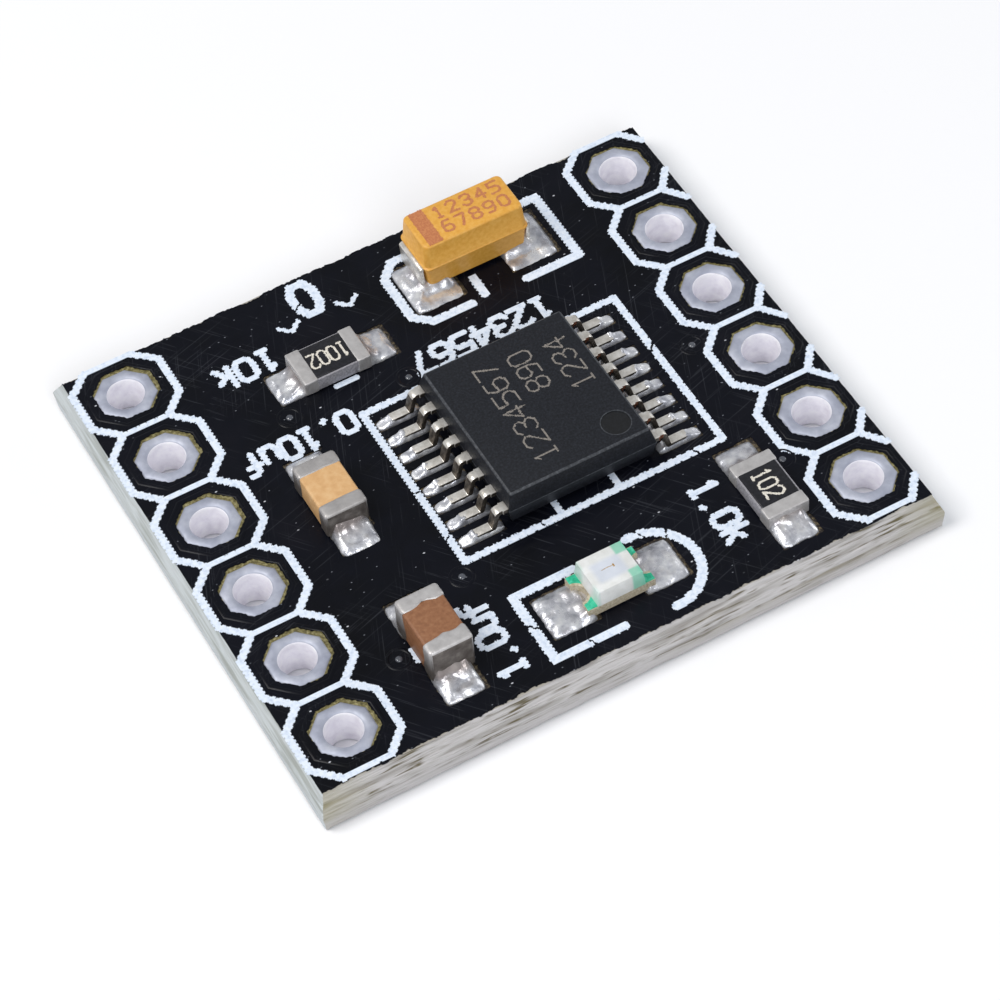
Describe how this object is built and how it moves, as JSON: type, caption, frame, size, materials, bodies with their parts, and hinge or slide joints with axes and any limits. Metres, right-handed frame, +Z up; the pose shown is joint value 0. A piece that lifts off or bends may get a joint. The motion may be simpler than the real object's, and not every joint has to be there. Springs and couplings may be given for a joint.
{
  "type": "dc motor driver module",
  "caption": "Small black carrier board for a motor driver chip, with plated pin-hole rows along both short sides and surface-mounted parts around the chip.",
  "frame": {"origin": "middle of the outline on the board's underside", "axes": "+X to the right across the two pin rows, +Y to the back edge along the rows, +Z up out of the parts side"},
  "size_m": [0.0182, 0.016, 0.0029],
  "materials": {
    "glass_epoxy": "sawn and snapped",
    "solder_mask": "satin black",
    "legend_ink": "printed white",
    "tinned_copper": "levelled tin",
    "solder": "reflowed, bright",
    "moulding_compound": "fine spark-eroded matt",
    "tinned_lead": "matt tin over copper",
    "tantalum_case": "moulded satin",
    "alumina": "fired ceramic",
    "resistor_glass": "glazed black",
    "plated_end": "barrel-plated tin",
    "tan_ceramic": "fired ceramic",
    "brown_ceramic": "fired ceramic",
    "lamp_base": "moulded board",
    "lamp_lens": "milky clear"
  },
  "bodies": {
    "root": {"pin_hole_left_1": "tinned_copper", "pin_hole_left_2": "tinned_copper", "pin_hole_left_3": "tinned_copper", "pin_hole_left_4": "tinned_copper", "pin_hole_left_5": "tinned_copper", "pin_hole_left_6": "tinned_copper", "pin_hole_right_1": "tinned_copper", "pin_hole_right_2": "tinned_copper", "pin_hole_right_3": "tinned_copper", "pin_hole_right_4": "tinned_copper", "pin_hole_right_5": "tinned_copper", "pin_hole_right_6": "tinned_copper", "substrate": "glass_epoxy", "solder_mask_top": "solder_mask", "solder_mask_bottom": "solder_mask", "legend_ink": "legend_ink", "chip_body": "moulding_compound", "chip_lead_01": "tinned_lead", "chip_lead_02": "tinned_lead", "chip_lead_03": "tinned_lead", "chip_lead_04": "tinned_lead", "chip_lead_05": "tinned_lead", "chip_lead_06": "tinned_lead", "chip_lead_07": "tinned_lead", "chip_lead_08": "tinned_lead", "chip_lead_09": "tinned_lead", "chip_lead_10": "tinned_lead", "chip_lead_11": "tinned_lead", "chip_lead_12": "tinned_lead", "chip_lead_13": "tinned_lead", "chip_lead_14": "tinned_lead", "chip_lead_15": "tinned_lead", "chip_lead_16": "tinned_lead", "chip_lands": "tinned_copper", "part_lands": "tinned_copper", "chip_solder": "solder", "part_solder": "solder", "left_resistor_ceramic": "alumina", "left_resistor_coat": "resistor_glass", "left_resistor_terminal_left": "plated_end", "left_resistor_terminal_right": "plated_end", "right_resistor_ceramic": "alumina", "right_resistor_coat": "resistor_glass", "right_resistor_terminal_front": "plated_end", "right_resistor_terminal_back": "plated_end", "middle_capacitor_ceramic": "tan_ceramic", "middle_capacitor_terminal_front": "plated_end", "middle_capacitor_terminal_back": "plated_end", "front_capacitor_ceramic": "brown_ceramic", "front_capacitor_terminal_front": "plated_end", "front_capacitor_terminal_back": "plated_end", "led_base": "lamp_base", "led_lens": "lamp_lens", "led_terminal_left": "plated_end", "led_terminal_right": "plated_end", "tantalum_body": "tantalum_case", "tantalum_terminal_left": "tinned_lead", "tantalum_terminal_right": "tinned_lead"}
  },
  "joints": []
}
